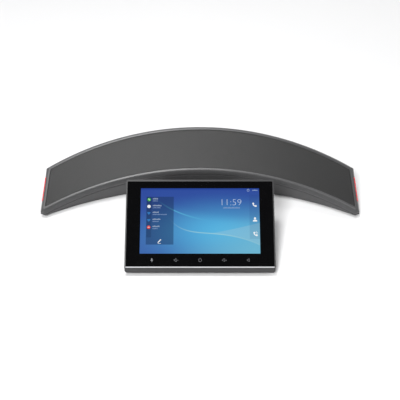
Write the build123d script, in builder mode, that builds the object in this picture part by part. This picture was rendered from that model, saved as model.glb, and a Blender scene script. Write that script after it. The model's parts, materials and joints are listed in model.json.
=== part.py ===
"""Arc-shaped conference desk phone: a sloping speaker arc with a tilting touch display in front of it.

Row frame, in millimetres: +X to the right, +Y to the rear, +Z up. The origin is on the table under the
middle of the phone. The display stands at its resting tilt.
"""

import os
from math import cos, radians, sin, sqrt

from build123d import *

os.makedirs("parts", exist_ok=True)

# ---------------------------------------------------------------- driving dimensions
# Speaker arc: its top face lies on a plane that rises to the rear.
SLOPE = 23.0  # rise of the top face, degrees
RIM_Y, RIM_Z = 46.0, 38.5  # front edge of the top face on the centre line
BAND = 66.3  # top face from front to rear, up the slope
FRONT_RADIUS, REAR_RADIUS = 416.0, 386.0
HALF_FRONT, HALF_REAR = 216.7, 214.0  # half span of the top face at its front and rear corners
BEVEL_OUT, BEVEL_DROP = 4.5, 7.0  # rounded side of the upper shell
BEVEL = [(0.0, 0.0), (0.6, 1.0), (2.2, 2.6), (4.2, 3.9), (5.4, 4.4), (BEVEL_DROP, BEVEL_OUT)]  # (drop, out)
SEAM = 0.9  # shadow gap between the upper and lower shells
LOWER_OUT = 5.0  # the lower shell stands out further than the upper shell's lip
LOWER_CHAMFER = 1.3  # its top edge
BEAD_OUT, BEAD = 3.6, 1.2  # locating bead between the shells: its outer side, and its width
TIP_CUT = 6.5  # the arc's front corners are cut off, by this much along each side
WALL = 2.2
FOOT_HEIGHT = 2.0  # the lower shell's underside is this far above the table
FLOOR = 2.0
BASE_FRONT_Y, BASE_REAR_Y = 46.6, 109.7  # underside of the arc on the centre line
BASE_FRONT_RADIUS, BASE_REAR_RADIUS = 446.0, 413.5
BASE_HALF_FRONT, BASE_HALF_REAR = 216.0, 213.5
RIM_WIDTH = 2.4  # solid rim round the cloth
CLOTH_DROP, CLOTH = 0.7, 0.7  # the cloth's face below the rim, and its thickness
CARRIER = 1.6  # perforated carrier plate under the cloth
LEDGE = 1.8  # ledge that the carrier is seated on
LEDGE_WIDTH = 4.0

# Display: a 7 inch panel behind a cover glass.
TILT = 32.0  # the screen's angle above the table, degrees
GLASS_Y, GLASS_Z = -63.8, 44.8  # centre of the glass's front face
GLASS_W, GLASS_H, GLASS_T = 188.8, 111.4, 1.6
RIM = 1.6  # frame round the glass, at the sides
TOP_RIM = 2.3
TRIM = 1.2  # bright strip under the glass
CHIN = 5.7  # 45 degree chin
FRAME_T = 7.4
BACK_T = 6.0
SKIN = 2.0  # wall of the back cover
ADHESIVE_T = 0.3
PANEL_W, PANEL_H, PANEL_V = 165.7, 99.7, 3.65  # the panel, and how far its centre is above the glass's
CELL_T, BACKLIGHT_T = 1.3, 2.5
HINGE_V, HINGE_N = -46.0, -14.5  # tilt axis, up the screen and behind the glass's face

# Tongue that carries the display, in front of the arc.
TONGUE_HALF = 52.0
TONGUE_FRONT = -84.0
COVER_LOW, COVER_TOP = 9.4, 11.2
BARREL_R = 4.5
BARREL_HALF = 40.0
PIN_R = 2.0
PIN_CLEARANCE = 0.04
ARM_HALF = 38.0
ARM_T = 2.5

# ---------------------------------------------------------------- planes
TOP = Plane(
    origin=(0, RIM_Y, RIM_Z),
    x_dir=(1, 0, 0),
    z_dir=(0, -sin(radians(SLOPE)), cos(radians(SLOPE))),
)
SCREEN = Plane(
    origin=(0, GLASS_Y, GLASS_Z),
    x_dir=(1, 0, 0),
    z_dir=(0, -sin(radians(TILT)), cos(radians(TILT))),
)
HINGE_Y = GLASS_Y + HINGE_V * cos(radians(TILT)) - HINGE_N * sin(radians(TILT))
HINGE_Z = GLASS_Z + HINGE_V * sin(radians(TILT)) + HINGE_N * cos(radians(TILT))
LOWER_TOP = BEVEL_DROP + SEAM
CARRIER_TOP = CLOTH_DROP + CLOTH
CARRIER_SEAT = CARRIER_TOP + CARRIER
FLOOR_TOP = FOOT_HEIGHT + FLOOR


# ---------------------------------------------------------------- outlines of the arc
def front_edge(x, grow=0.0):
    """In-plane height of the top face's front edge at x."""
    return -FRONT_RADIUS + sqrt((FRONT_RADIUS - grow) ** 2 - x**2)


def rear_edge(x, grow=0.0):
    """In-plane height of the top face's rear edge at x."""
    return BAND - REAR_RADIUS + sqrt((REAR_RADIUS + grow) ** 2 - x**2)


def band_height(x, share):
    """A place across the band at x: share 0 is the front edge and 1 the rear edge."""
    return front_edge(x) + share * (rear_edge(x) - front_edge(x))


def ring_outline(plane, front_r, rear_r, front_apex, rear_apex, half_front, half_rear, corner, cut):
    """A closed arc-shaped outline: two circular edges and two straight ends, with cut front corners."""
    rear_y = rear_apex - rear_r + sqrt(rear_r**2 - half_rear**2)
    tip = Vector(half_front, front_apex - front_r + sqrt(front_r**2 - half_front**2))
    end = Vector(half_rear, rear_y) - tip
    side = tip + end.normalized() * cut
    front_x = half_front - cut
    front_y = front_apex - front_r + sqrt(front_r**2 - front_x**2)
    with BuildSketch(plane) as outline:
        with BuildLine():
            ThreePointArc((-half_rear, rear_y), (0, rear_apex), (half_rear, rear_y))
            Polyline((half_rear, rear_y), (side.X, side.Y), (front_x, front_y))
            ThreePointArc((front_x, front_y), (0, front_apex), (-front_x, front_y))
            Polyline((-front_x, front_y), (-side.X, side.Y), (-half_rear, rear_y))
        make_face()
        fillet(outline.vertices(), corner)
    return outline.sketch


def top_outline(drop, grow, corner, cut=1.2):
    """The top face's outline on a plane drop below it, grown outwards."""
    return ring_outline(
        TOP.offset(-drop),
        FRONT_RADIUS - grow,
        REAR_RADIUS + grow,
        -grow,
        BAND + grow,
        HALF_FRONT + grow,
        HALF_REAR + grow,
        corner,
        cut,
    )


def base_outline(z, inset, corner, cut):
    """The underside's outline at height z, drawn in by inset."""
    return ring_outline(
        Plane.XY.offset(z),
        BASE_FRONT_RADIUS + inset,
        BASE_REAR_RADIUS - inset,
        BASE_FRONT_Y + inset,
        BASE_REAR_Y - inset,
        BASE_HALF_FRONT - inset,
        BASE_HALF_REAR - inset,
        corner,
        cut,
    )


def block(low, high, mode=Mode.ADD):
    """A box from its lowest to its highest corner."""
    size = [b - a for a, b in zip(low, high)]
    centre = [(a + b) / 2 for a, b in zip(low, high)]
    with Locations(tuple(centre)):
        Box(size[0], size[1], size[2], mode=mode)


def plane_block(plane, low, high, mode=Mode.ADD):
    """A box from its lowest to its highest corner, in a plane's own coordinates."""
    size = [b - a for a, b in zip(low, high)]
    centre = [(a + b) / 2 for a, b in zip(low, high)]
    with Locations(plane.location * Location(tuple(centre))):
        Box(size[0], size[1], size[2], mode=mode)


def rod(x, y, low, high, radius, mode=Mode.ADD):
    """An upright cylinder from one height to another."""
    with Locations((x, y, (low + high) / 2)):
        Cylinder(radius, high - low, mode=mode)


def plane_rod(plane, x, y, low, high, radius, mode=Mode.ADD):
    """A cylinder along a plane's normal, in the plane's own coordinates."""
    with Locations(plane.location * Location((x, y, (low + high) / 2))):
        Cylinder(radius, high - low, mode=mode)


def cross_rod(x_low, x_high, radius, mode=Mode.ADD):
    """A cylinder on the tilt axis."""
    with Locations(Location(((x_low + x_high) / 2, HINGE_Y, HINGE_Z), (0, 90, 0))):
        Cylinder(radius, x_high - x_low, mode=mode)


# ---------------------------------------------------------------- screw posts of the arc
# Each post is (x, place up the slope of the top face).
POSTS = [
    (side * x, band_height(x, share))
    for side in (-1, 1)
    for x, share in ((60, 0.11), (130, 0.12), (62, 0.92), (140, 0.90), (207, 0.84))
]
POST_R, BOSS_R = 4.2, 3.2
BOSS_LENGTH = 12.0  # the bosses end this far below the top face
SCREW_R, SCREW_HEAD_R, SCREW_HEAD = 1.4, 2.7, 1.6
SCREW_GRIP, SCREW_REACH = 8.0, 6.0  # screw length in the post, and in the boss
POST_PLACES = [
    (x, RIM_Y + s * cos(radians(SLOPE)), RIM_Z + s * sin(radians(SLOPE)) - BOSS_LENGTH) for x, s in POSTS
]

# ---------------------------------------------------------------- ports in the rear wall
PORT_PLATE_Y, PORT_FACE_Y = 101.4, 103.6
PORT_HALF = 44.0
PORT_LOW, PORT_HIGH = 6.0, 28.0
BOARD_T = 1.6
BOARD_TOP = 11.6
BOARD_HALF, BOARD_FRONT, BOARD_REAR = 48.0, 56.0, 101.2
BOARD_SCREWS = [(x, y) for x in (-44, 44) for y in (60, 95)]
ARM_SCREWS = [(-34, -72), (-12, -66), (12, -66), (34, -72)]
# Each jack's centre x, width and height.
DC_JACK = (-33.0, 9.0, 11.0)
USB_C_JACK = (-17.0, 9.0, 3.4)
USB_A_JACK = (0.0, 14.5, 7.0)
ETHERNET_JACK = (24.0, 16.0, 13.6)
LOCK_X, LOCK_Z = 38.5, 18.0
LOCK_W, LOCK_H = 7.2, 3.4
RESET_X, RESET_Y = 38.0, 76.0
RESET_R, RESET_LOW, RESET_HIGH = 1.6, 4.6, 8.1
RESET_TRAVEL = 0.35
FEET = [(side * x, y) for side in (-1, 1) for x, y in ((44, -75), (196, 22), (150, 56), (84, 88))]
FOOT_R, FOOT_SUNK = 6.0, 0.6

# ---------------------------------------------------------------- status lenses in the end bevels
LENS_S, LENS_LENGTH = -28.8, 35.5  # centre up the slope, and length
LENS_HIGH = 1.8  # the lens starts this far below the top face
LENS_PROUD = 0.3
LENS_INNER = 214.0

# ---------------------------------------------------------------- loudspeaker and microphones
DRIVER_S, DRIVER_R = 33.0, 25.5
FLANGE_TOP = 4.0
DRIVER = Plane(
    origin=TOP.from_local_coords((0, DRIVER_S, 0)),
    x_dir=(1, 0, 0),
    z_dir=TOP.z_dir,
)
DRIVER_SECTION = Plane(
    origin=DRIVER.origin,
    x_dir=(1, 0, 0),
    z_dir=(0, -cos(radians(SLOPE)), -sin(radians(SLOPE))),
)
DRIVER_AXIS = Axis(DRIVER.origin, DRIVER.z_dir)
MICROPHONES = [(side * x, band_height(x, 0.5)) for side in (-1, 1) for x in (60, 115, 170)]
MICROPHONE_R = 2.4


def upper_block(grow):
    """The bevelled block of the upper shell, grown outwards."""
    with BuildPart() as solid:
        loft(
            [
                top_outline(drop, grow + out, 0.5 + 0.15 * out, 1.6 + (TIP_CUT - 1.6) * out / BEVEL_OUT)
                for drop, out in BEVEL
            ],
            ruled=True,
        )
    return solid.part


def under_ledge():
    """The hollow of the upper shell, below the carrier's ledge."""
    with BuildPart() as hollow:
        loft(
            [
                top_outline(CARRIER_SEAT + LEDGE, BEVEL_OUT - 1.0 - WALL, 0.5, 3.6),
                top_outline(BEVEL_DROP + 0.01, BEVEL_OUT - WALL, 0.5, 4.4),
            ],
            ruled=True,
        )
    return hollow.part


def arc_block():
    """The outside of the lower shell's arc."""
    with BuildPart() as solid:
        loft(
            [
                top_outline(LOWER_TOP, LOWER_OUT - LOWER_CHAMFER, 0.9, TIP_CUT - 0.8),
                top_outline(LOWER_TOP + LOWER_CHAMFER, LOWER_OUT, 1.1, TIP_CUT),
                base_outline(FOOT_HEIGHT, 0, 1.4, TIP_CUT + 1.0),
            ],
            ruled=True,
        )
    return solid.part


def arc_hollow():
    """The inside of the lower shell's arc."""
    mouth = top_outline(LOWER_TOP, BEAD_OUT - BEAD, 0.5, TIP_CUT - 2.2)
    with BuildPart() as hollow:
        loft([mouth, base_outline(FLOOR_TOP, WALL, 0.8, TIP_CUT)], ruled=True)
        extrude(mouth, amount=SEAM + 0.1)
    return hollow.part


ARC_BLOCK = arc_block()
ARC_HOLLOW = arc_hollow()

# ---------------------------------------------------------------- lower shell
with BuildPart() as lower_shell:
    add(ARC_BLOCK)
    # Tongue under the display.
    with BuildSketch(Plane.XY.offset(FOOT_HEIGHT)) as tongue:
        with Locations((0, (TONGUE_FRONT + BASE_FRONT_Y + 1) / 2)):
            Rectangle(2 * TONGUE_HALF, BASE_FRONT_Y + 1 - TONGUE_FRONT)
        fillet(tongue.vertices().group_by(Axis.Y)[0], 6)
    extrude(amount=COVER_LOW - FOOT_HEIGHT)
    # Locating bead: it meets the upper shell and leaves the shadow gap outside it.
    extrude(top_outline(LOWER_TOP, BEAD_OUT, 0.8, TIP_CUT - 1.2), amount=SEAM)
    add(ARC_HOLLOW, mode=Mode.SUBTRACT)
    with BuildSketch(Plane.XY.offset(FLOOR_TOP)) as tub:
        with Locations((0, (TONGUE_FRONT + 2 + BASE_FRONT_Y - 4) / 2)):
            Rectangle(2 * (TONGUE_HALF - 2), BASE_FRONT_Y - 4 - TONGUE_FRONT - 2)
        fillet(tub.vertices().group_by(Axis.Y)[0], 4)
    extrude(amount=COVER_LOW, mode=Mode.SUBTRACT)
    # Way in for the hinge arm, and the cable window into the arc.
    arm_gap = ARM_HALF + 0.5
    block((-arm_gap, TONGUE_FRONT - 1, FLOOR_TOP), (arm_gap, TONGUE_FRONT + 3, 20), Mode.SUBTRACT)
    block((-26, BASE_FRONT_Y - 6, FLOOR_TOP), (26, BASE_FRONT_Y + 6, COVER_LOW - 1), Mode.SUBTRACT)
    # Screw posts of the arc, with deep recesses for the screws from below.
    for x, y, top in POST_PLACES:
        rod(x, y, FLOOR_TOP - 1, top, POST_R)
    for x, y, top in POST_PLACES:
        rod(x, y, 0, top + 1, SCREW_R + 0.1, Mode.SUBTRACT)
        rod(x, y, 0, top - SCREW_GRIP, SCREW_HEAD_R + 0.2, Mode.SUBTRACT)
    # Standoffs of the main board.
    for x, y in BOARD_SCREWS:
        rod(x, y, FLOOR_TOP - 1, BOARD_TOP - BOARD_T, 3.0)
        rod(x, y, FLOOR_TOP, BOARD_TOP, 1.25, Mode.SUBTRACT)
    for x, y in ARM_SCREWS:
        rod(x, y, FOOT_HEIGHT + 0.3, FLOOR_TOP + 1, 1.25, Mode.SUBTRACT)
    # Port recess, reset pinhole, air slots under the board, and shallow seats for the feet.
    block((-PORT_HALF, PORT_PLATE_Y, PORT_LOW), (PORT_HALF, 125, PORT_HIGH), Mode.SUBTRACT)
    rod(RESET_X, RESET_Y, 0, FLOOR_TOP + 1, 1.0, Mode.SUBTRACT)
    with BuildSketch(Plane.XY):
        with Locations((-9, 76)):
            with GridLocations(6, 0, 6, 1):
                SlotOverall(22, 2.2, rotation=90)
    extrude(amount=FLOOR_TOP + 1, mode=Mode.SUBTRACT)
    for x, y in FEET:
        rod(x, y, 0, FOOT_HEIGHT + FOOT_SUNK, FOOT_R + 0.1, Mode.SUBTRACT)

# ---------------------------------------------------------------- upper shell
with BuildPart() as upper_shell:
    add(upper_block(0))
    add(under_ledge(), mode=Mode.SUBTRACT)
    extrude(
        top_outline(0, -RIM_WIDTH - LEDGE_WIDTH, 0.8),
        amount=-BEVEL_DROP - 1,
        mode=Mode.SUBTRACT,
    )
    for x, y, low in POST_PLACES:
        rod(x, y, low, low + BOSS_LENGTH - 2, BOSS_R)
    extrude(top_outline(0, -RIM_WIDTH, 0.4), amount=-CARRIER_SEAT, mode=Mode.SUBTRACT)
    for x, y, low in POST_PLACES:
        rod(x, y, low - 1, low + SCREW_REACH + 0.5, SCREW_R + 0.03, Mode.SUBTRACT)
    for side in (-1, 1):
        ends = sorted((side * LENS_INNER, side * 235))
        plane_block(
            TOP,
            (ends[0], LENS_S - LENS_LENGTH / 2, -BEVEL_DROP - 1),
            (ends[1], LENS_S + LENS_LENGTH / 2, -LENS_HIGH),
            Mode.SUBTRACT,
        )

# ---------------------------------------------------------------- carrier plate and cloth
with BuildPart() as grille_carrier:
    extrude(top_outline(CARRIER_SEAT, -RIM_WIDTH - 0.15, 0.4), amount=CARRIER)
    with BuildSketch(TOP.offset(-CARRIER_SEAT)):
        with Locations((0, DRIVER_S)):
            with HexLocations(2.3, 9, 9):
                Circle(1.2)
        with Locations(*MICROPHONES):
            Circle(0.8)
    extrude(amount=CARRIER, mode=Mode.SUBTRACT)

with BuildPart() as grille_cloth:
    extrude(top_outline(CARRIER_TOP, -RIM_WIDTH - 0.15, 0.4), amount=CLOTH)


# ---------------------------------------------------------------- status lenses and their lamp boards
def status_lens(side):
    """A translucent bar that follows the bevel at one end of the arc."""
    ends = sorted((side * (LENS_INNER + 0.1), side * 235))
    with BuildPart() as lens:
        add(upper_block(LENS_PROUD))
        plane_block(
            TOP,
            (ends[0], LENS_S - LENS_LENGTH / 2 + 0.1, -BEVEL_DROP),
            (ends[1], LENS_S + LENS_LENGTH / 2 - 0.1, -LENS_HIGH - 0.1),
            Mode.INTERSECT,
        )
    return lens


def status_board(side):
    """A strip of board with a row of lamps facing the lens."""
    inner, outer = LENS_INNER - 3.4, LENS_INNER - 2.2
    with BuildPart() as board:
        ends = sorted((side * inner, side * outer))
        top = -CARRIER_SEAT - LEDGE - 0.2
        plane_block(TOP, (ends[0], LENS_S - 16, -10), (ends[1], LENS_S + 16, top))
        for step in range(5):
            s = LENS_S + 6.5 * (step - 2)
            ends = sorted((side * outer, side * (outer + 0.9)))
            plane_block(TOP, (ends[0], s - 1, -6.8), (ends[1], s + 1, -5.2))
    return board


status_lens_left = status_lens(-1)
status_lens_right = status_lens(1)
status_board_left = status_board(-1)
status_board_right = status_board(1)

# ---------------------------------------------------------------- loudspeaker
with BuildPart() as speaker_gasket:
    plane_rod(DRIVER, 0, 0, -FLANGE_TOP, -CARRIER_SEAT, DRIVER_R)
    plane_rod(DRIVER, 0, 0, -FLANGE_TOP, -CARRIER_SEAT, DRIVER_R - 3, Mode.SUBTRACT)

with BuildPart() as speaker_basket:
    with BuildSketch(DRIVER_SECTION):
        with BuildLine():
            Polyline(
                (DRIVER_R - 4.2, -4.0),
                (DRIVER_R, -4.0),
                (DRIVER_R, -5.2),
                (DRIVER_R - 3, -5.2),
                (16.0, -17.2),
                (9.0, -17.2),
                (9.0, -16.0),
                (15.2, -16.0),
                (DRIVER_R - 4.2, -5.2),
                close=True,
            )
        make_face()
    revolve(axis=DRIVER_AXIS)
    with Locations(DRIVER.location * Location((0, 0, -11))):
        with PolarLocations(19, 6):
            Box(14, 7, 7, mode=Mode.SUBTRACT)

with BuildPart() as speaker_surround:
    with BuildSketch(DRIVER_SECTION):
        with BuildLine():
            ThreePointArc((17.2, -4.9), (19.2, -3.4), (21.2, -4.9))
            Line((21.2, -4.9), (20.6, -4.9))
            ThreePointArc((20.6, -4.9), (19.2, -4.0), (17.8, -4.9))
            Line((17.8, -4.9), (17.2, -4.9))
        make_face()
    revolve(axis=DRIVER_AXIS)

with BuildPart() as speaker_cone:
    with BuildSketch(DRIVER_SECTION):
        with BuildLine():
            Polyline(
                (17.7, -4.95),
                (17.2, -5.5),
                (6.6, -12.5),
                (6.6, -14.8),
                (6.0, -14.8),
                (6.0, -12.2),
                (16.9, -4.95),
                close=True,
            )
        make_face()
    revolve(axis=DRIVER_AXIS)

with BuildPart() as speaker_dust_cap:
    with Locations(DRIVER.location * Location((0, 0, -19.6))):
        Sphere(11.0)
        Sphere(10.4, mode=Mode.SUBTRACT)
    plane_block(DRIVER, (-7.1, -7.1, -11.2), (7.1, 7.1, -8.0), Mode.INTERSECT)

with BuildPart() as speaker_magnet:
    plane_rod(DRIVER, 0, 0, -26.5, -17.2, 14)
    plane_rod(DRIVER, 0, 0, -17.2, -13.0, 5.4)
    plane_rod(DRIVER, 0, 0, -17.2, -16.0, 8.9)

with BuildPart() as microphones:
    for x, s in MICROPHONES:
        plane_rod(TOP, x, s, -CARRIER_SEAT - 1.4, -CARRIER_SEAT, MICROPHONE_R)

# ---------------------------------------------------------------- main board and what is on it
with BuildPart() as main_board:
    block((-BOARD_HALF, BOARD_FRONT, BOARD_TOP - BOARD_T), (BOARD_HALF, BOARD_REAR, BOARD_TOP))
    for x, y in BOARD_SCREWS:
        rod(x, y, 0, 20, 1.5, Mode.SUBTRACT)

with BuildPart() as shield_can:
    block((-28, 59, BOARD_TOP), (8, 84, BOARD_TOP + 3))
    block((-27.7, 59.3, BOARD_TOP), (7.7, 83.7, BOARD_TOP + 2.7), Mode.SUBTRACT)

with BuildPart() as board_connectors:
    block((16, 57.5, BOARD_TOP), (34, 62, BOARD_TOP + 2.2))
    block((14, 68, BOARD_TOP), (20, 74, BOARD_TOP + 5))
    block((26, 68, BOARD_TOP), (32, 72, BOARD_TOP + 5))


def jack_shell(jack, depth):
    """The outside of a jack that stands on the board and looks out of the port plate."""
    x, width, height = jack
    block((x - width / 2, PORT_FACE_Y - depth, BOARD_TOP), (x + width / 2, PORT_FACE_Y, BOARD_TOP + height))


with BuildPart() as dc_jack:
    jack_shell(DC_JACK, 14)
    with Locations(Location((DC_JACK[0], PORT_FACE_Y - 5, BOARD_TOP + 6), (90, 0, 0))):
        Cylinder(2.9, 10.01, mode=Mode.SUBTRACT)
    with Locations(Location((DC_JACK[0], PORT_FACE_Y - 6, BOARD_TOP + 6), (90, 0, 0))):
        Cylinder(0.8, 9)

with BuildPart() as usb_c_jack:
    jack_shell(USB_C_JACK, 8)
    mouth = (USB_C_JACK[0], PORT_FACE_Y + 0.01, BOARD_TOP + USB_C_JACK[2] / 2)
    with BuildSketch(Plane(origin=mouth, x_dir=(1, 0, 0), z_dir=(0, -1, 0))):
        SlotOverall(8.3, 2.5)
    extrude(amount=6, mode=Mode.SUBTRACT)
    block(
        (USB_C_JACK[0] - 3.3, PORT_FACE_Y - 7, BOARD_TOP + 1.35),
        (USB_C_JACK[0] + 3.3, PORT_FACE_Y - 1, BOARD_TOP + 2.05),
    )

with BuildPart() as usb_a_jack:
    jack_shell(USB_A_JACK, 15)
    block((-6.3, PORT_FACE_Y - 12, BOARD_TOP + 0.7), (6.3, PORT_FACE_Y + 1, BOARD_TOP + 6.1), Mode.SUBTRACT)
    block((-5.6, PORT_FACE_Y - 13, BOARD_TOP + 3.6), (5.6, PORT_FACE_Y - 1, BOARD_TOP + 5.6))

with BuildPart() as ethernet_jack:
    jack_shell(ETHERNET_JACK, 21)
    x = ETHERNET_JACK[0]
    mouth_y = PORT_FACE_Y + 1
    block((x - 5.9, PORT_FACE_Y - 16, BOARD_TOP + 3.6), (x + 5.9, mouth_y, BOARD_TOP + 11.0), Mode.SUBTRACT)
    block((x - 3.1, PORT_FACE_Y - 9, BOARD_TOP + 1.4), (x + 3.1, mouth_y, BOARD_TOP + 3.7), Mode.SUBTRACT)
    for pin in range(8):
        low_x = x + 1.02 * (pin - 3.5) - 0.2
        block((low_x, PORT_FACE_Y - 15, BOARD_TOP + 10.4), (low_x + 0.4, PORT_FACE_Y - 4, BOARD_TOP + 11.2))

with BuildPart() as port_housing:
    block((-PORT_HALF - 2, PORT_PLATE_Y, FLOOR_TOP), (PORT_HALF + 2, 125, PORT_HIGH + 2))
    block((-PORT_HALF, PORT_FACE_Y, PORT_LOW), (PORT_HALF, 126, PORT_HIGH), Mode.SUBTRACT)
    add(ARC_HOLLOW, mode=Mode.INTERSECT)
    for x, width, height in (DC_JACK, USB_C_JACK, USB_A_JACK, ETHERNET_JACK):
        block(
            (x - width / 2 - 0.15, PORT_PLATE_Y - 1, BOARD_TOP - 0.1),
            (x + width / 2 + 0.15, PORT_FACE_Y + 1, BOARD_TOP + height + 0.15),
            Mode.SUBTRACT,
        )
    block(
        (LOCK_X - LOCK_W / 2, PORT_PLATE_Y - 1, LOCK_Z - LOCK_H / 2),
        (LOCK_X + LOCK_W / 2, PORT_FACE_Y + 1, LOCK_Z + LOCK_H / 2),
        Mode.SUBTRACT,
    )

with BuildPart() as reset_switch:
    block((RESET_X - 3, RESET_Y - 3, 6.2), (RESET_X + 3, RESET_Y + 3, BOARD_TOP - BOARD_T))
    rod(RESET_X, RESET_Y, 5, RESET_HIGH + RESET_TRAVEL + 0.15, RESET_R + 0.06, Mode.SUBTRACT)

with BuildPart() as reset_button:
    rod(RESET_X, RESET_Y, RESET_LOW, RESET_HIGH, RESET_R)
    fillet(reset_button.edges().filter_by(GeomType.CIRCLE).sort_by(Axis.Z)[0], 0.3)

# ---------------------------------------------------------------- fasteners and feet of the base
with BuildPart() as case_screws:
    for x, y, top in POST_PLACES:
        seat = top - SCREW_GRIP
        rod(x, y, seat - SCREW_HEAD, seat, SCREW_HEAD_R)
        rod(x, y, seat, top + SCREW_REACH, SCREW_R)
        rod(x, y, seat - SCREW_HEAD, seat - SCREW_HEAD + 0.9, 0.9, Mode.SUBTRACT)

with BuildPart() as board_screws:
    for x, y in BOARD_SCREWS:
        rod(x, y, BOARD_TOP, BOARD_TOP + 1.5, 2.4)
        rod(x, y, FLOOR_TOP + 1, BOARD_TOP, 1.2)
        rod(x, y, BOARD_TOP + 0.7, BOARD_TOP + 1.5, 0.8, Mode.SUBTRACT)

with BuildPart() as rubber_feet:
    for x, y in FEET:
        rod(x, y, 0, FOOT_HEIGHT + FOOT_SUNK, FOOT_R)
    fillet(rubber_feet.edges().group_by(Axis.Z)[0], 0.5)

with BuildPart() as neck_cover:
    with BuildSketch(Plane.XY.offset(COVER_LOW)) as lid:
        with Locations((0, (TONGUE_FRONT + BASE_FRONT_Y + 1) / 2)):
            Rectangle(2 * TONGUE_HALF, BASE_FRONT_Y + 1 - TONGUE_FRONT)
        fillet(lid.vertices().group_by(Axis.Y)[0], 6)
    extrude(amount=COVER_TOP - COVER_LOW)
    fillet(neck_cover.edges().group_by(Axis.Z)[-1].sort_by(Axis.Y)[:-1], 1.0)
    for side in (-1, 1):
        block(
            (side * (TONGUE_HALF - 4) - 0.8, -60, COVER_LOW - 3),
            (side * (TONGUE_HALF - 4) + 0.8, 30, COVER_LOW),
        )
    add(ARC_BLOCK, mode=Mode.SUBTRACT)

# ---------------------------------------------------------------- tilting hinge
with BuildPart() as hinge_arm:
    cross_rod(-BARREL_HALF, BARREL_HALF, BARREL_R)
    block((-ARM_HALF, HINGE_Y, FLOOR_TOP), (ARM_HALF, -60, FLOOR_TOP + ARM_T))
    cross_rod(-BARREL_HALF - 1, BARREL_HALF + 1, PIN_R + PIN_CLEARANCE, Mode.SUBTRACT)
    for x, y in ARM_SCREWS:
        rod(x, y, 0, 10, 1.35, Mode.SUBTRACT)

with BuildPart() as arm_screws:
    for x, y in ARM_SCREWS:
        rod(x, y, FLOOR_TOP + ARM_T, FLOOR_TOP + ARM_T + 1.5, 2.6)
        rod(x, y, FOOT_HEIGHT + 0.4, FLOOR_TOP + ARM_T, 1.2)
        rod(x, y, FLOOR_TOP + ARM_T + 0.7, FLOOR_TOP + ARM_T + 1.5, 0.8, Mode.SUBTRACT)

EAR_LOW, EAR_HIGH = BARREL_HALF + 0.4, BARREL_HALF + 5.6
POCKET_HALF, POCKET_LOW, POCKET_HIGH, POCKET_FLOOR = 46.6, -51.8, -33.6, -9.0
EAR_SCREW = (BARREL_HALF + 3.0, -36.6)

with BuildPart() as hinge_pin:
    cross_rod(-EAR_HIGH, EAR_HIGH, PIN_R)


def hinge_ear(side):
    """A metal ear that holds one end of the pin and is screwed into the back cover's pocket."""
    ends = sorted((side * EAR_LOW, side * EAR_HIGH))
    with BuildPart() as ear:
        cross_rod(ends[0], ends[1], BARREL_R)
        low_v, high_v = HINGE_V - BARREL_R, HINGE_V + BARREL_R
        plane_block(SCREEN, (ends[0], low_v, HINGE_N), (ends[1], high_v, POCKET_FLOOR))
        plane_block(SCREEN, (ends[0], HINGE_V, POCKET_FLOOR - 2), (ends[1], POCKET_HIGH - 0.2, POCKET_FLOOR))
        cross_rod(ends[0] - 1, ends[1] + 1, PIN_R, Mode.SUBTRACT)
        plane_rod(SCREEN, side * EAR_SCREW[0], EAR_SCREW[1], -20, 0, 1.1, Mode.SUBTRACT)
    return ear


hinge_ear_left = hinge_ear(-1)
hinge_ear_right = hinge_ear(1)

with BuildPart() as ear_screws:
    for side in (-1, 1):
        x, v = side * EAR_SCREW[0], EAR_SCREW[1]
        plane_rod(SCREEN, x, v, POCKET_FLOOR - 3.3, POCKET_FLOOR - 2, 1.9)
        plane_rod(SCREEN, x, v, POCKET_FLOOR - 2, POCKET_FLOOR + 1.2, 1.0)
        plane_rod(SCREEN, x, v, POCKET_FLOOR - 3.3, POCKET_FLOOR - 2.7, 0.7, Mode.SUBTRACT)

# ---------------------------------------------------------------- display
FRAME_W = GLASS_W + 2 * RIM
FRAME_HIGH = GLASS_H / 2 + TOP_RIM
FRAME_LOW = -GLASS_H / 2 - TRIM - CHIN
KEYS_V, KEYS_H = -50.3, 6.0
DISPLAY_SCREWS = [(side * 86.5, v) for side in (-1, 1) for v in (-40, 4, 46)]
BOARD_POSTS = [(x, v) for x in (-52, 52) for v in (-12, 28)]
SIDE = Plane(
    origin=SCREEN.origin,
    x_dir=(0, cos(radians(TILT)), sin(radians(TILT))),
    z_dir=(1, 0, 0),
)


def screen_rectangle(depth, width, low, high, corner):
    """A rounded rectangle parallel to the screen, depth behind the glass's face."""
    with BuildSketch(SCREEN.offset(-depth)) as outline:
        with Locations((0, (low + high) / 2)):
            RectangleRounded(width, high - low, corner)
    return outline.sketch


with BuildPart() as front_glass:
    with BuildSketch(SCREEN.offset(-GLASS_T)):
        RectangleRounded(GLASS_W, GLASS_H, 1.5)
    extrude(amount=GLASS_T)
    chamfer(front_glass.faces().sort_by(Axis(SCREEN.origin, SCREEN.z_dir))[-1].edges(), 0.2)

with BuildPart() as glass_adhesive:
    tape = screen_rectangle(GLASS_T + ADHESIVE_T, GLASS_W - 0.4, -GLASS_H / 2 + 0.2, GLASS_H / 2 - 0.2, 1.5)
    add(extrude(tape, amount=ADHESIVE_T, mode=Mode.PRIVATE))
    plane_block(
        SCREEN,
        (-PANEL_W / 2 - 0.6, PANEL_V - PANEL_H / 2 - 0.6, -3),
        (PANEL_W / 2 + 0.6, PANEL_V + PANEL_H / 2 + 0.6, 0),
        Mode.SUBTRACT,
    )

with BuildPart() as lcd_cell:
    plane_block(
        SCREEN,
        (-PANEL_W / 2, PANEL_V - PANEL_H / 2, -GLASS_T - CELL_T),
        (PANEL_W / 2, PANEL_V + PANEL_H / 2, -GLASS_T),
    )

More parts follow.
